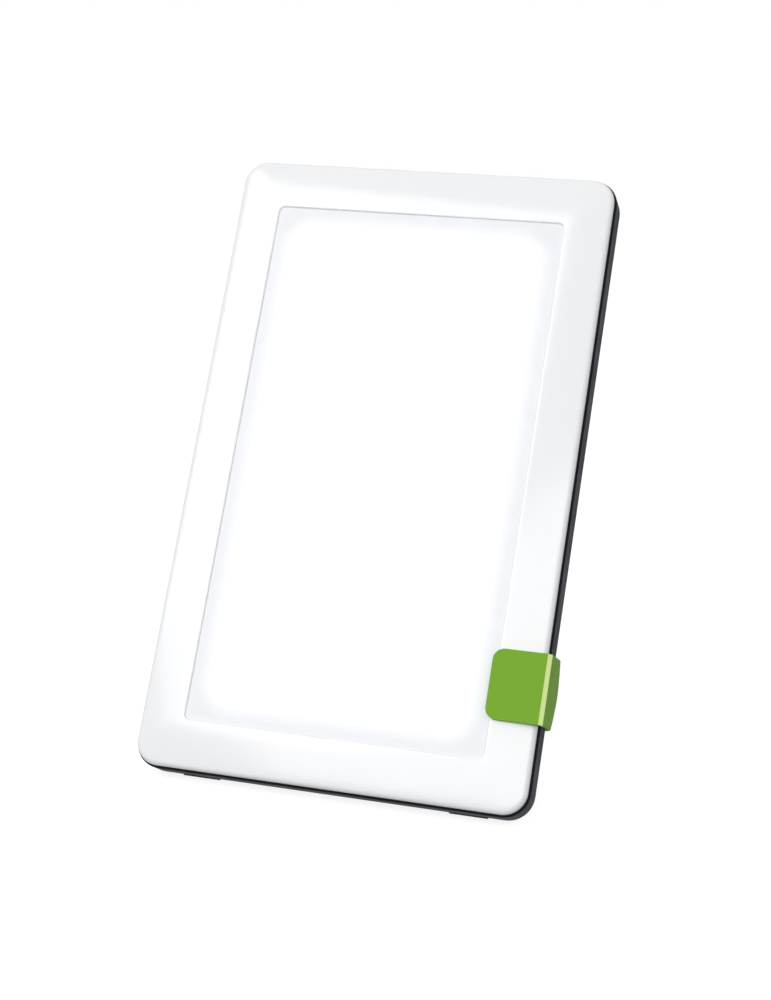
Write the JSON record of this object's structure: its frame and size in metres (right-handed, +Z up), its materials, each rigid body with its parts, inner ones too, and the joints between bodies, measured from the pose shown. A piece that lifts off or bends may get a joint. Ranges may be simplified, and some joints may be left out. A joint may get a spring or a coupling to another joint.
{
  "type": "light therapy lamp",
  "caption": "Flat tablet-shaped light therapy lamp with an opal light panel in a white frame, leaning on a green clip-on stand that slides off its side edge.",
  "frame": {"origin": "middle of the overall box, on the table", "axes": "+Z up, -Y out of the lit front, +X to the right as seen from the front, which is the side that the stand clips to"},
  "size_m": [0.1472, 0.1143, 0.22],
  "materials": {
    "tray_aluminium": "folded sheet, mill finish",
    "screw_steel": "zinc-plated steel",
    "component_black": "moulded epoxy or nylon",
    "contact_metal": "nickel-plated brass",
    "optical_film": "polyester optical film",
    "opal_panel": "opal PMMA sheet, satin face",
    "circuit_board": "glass-epoxy laminate with solder mask",
    "bezel_white": "high gloss injection moulded ABS",
    "connector_white": "moulded nylon",
    "led_package": "phosphor-filled package",
    "strip_board": "white solder mask on aluminium-core board",
    "clear_acrylic": "clear PMMA light guide with printed dots",
    "frame_white": "moulded polycarbonate",
    "button_black": "satin moulded ABS",
    "housing_black": "fine-textured injection moulded ABS",
    "reflector_white": "white foamed polyester film",
    "foot_rubber": "moulded silicone rubber",
    "capacitor_can": "drawn aluminium can",
    "stand_green": "glossy injection moulded ABS",
    "grip_rubber": "soft moulded elastomer"
  },
  "bodies": {
    "lamp": {"backplate": "tray_aluminium", "board_screws": "screw_steel", "converter_chip": "component_black", "dc_socket": "component_black", "dc_socket_pin": "contact_metal", "diffuser_film": "optical_film", "diffuser_panel": "opal_panel", "driver_board": "circuit_board", "frame_screws": "screw_steel", "front_bezel": "bezel_white", "housing_screws": "screw_steel", "inductor": "component_black", "lead_connectors": "connector_white", "led_packages_left": "led_package", "led_packages_right": "led_package", "led_strip_left": "strip_board", "led_strip_right": "strip_board", "light_guide_plate": "clear_acrylic", "mid_frame": "frame_white", "prism_film": "optical_film", "push_switch": "component_black", "rear_housing": "housing_black", "reflector_sheet": "reflector_white", "rubber_feet": "foot_rubber", "smoothing_capacitors": "capacitor_can"},
    "power_button": {"power_button": "button_black", "switch_plunger": "connector_white"},
    "stand": {"stand_bracket": "stand_green", "stand_grip_pads": "grip_rubber", "stand_foot_pad": "foot_rubber"}
  },
  "joints": [
    {"name": "stand_slide", "type": "slide", "parent": "lamp", "child": "stand", "axis": [1, 0, 0], "range_m": [0, 0.1]},
    {"name": "power_button_press", "type": "slide", "parent": "lamp", "child": "power_button", "axis": [0, -0.9063, 0.4226], "range_m": [0, 0.0008], "stiffness_N_per_m": 1200, "springref_m": -0.0006}
  ]
}
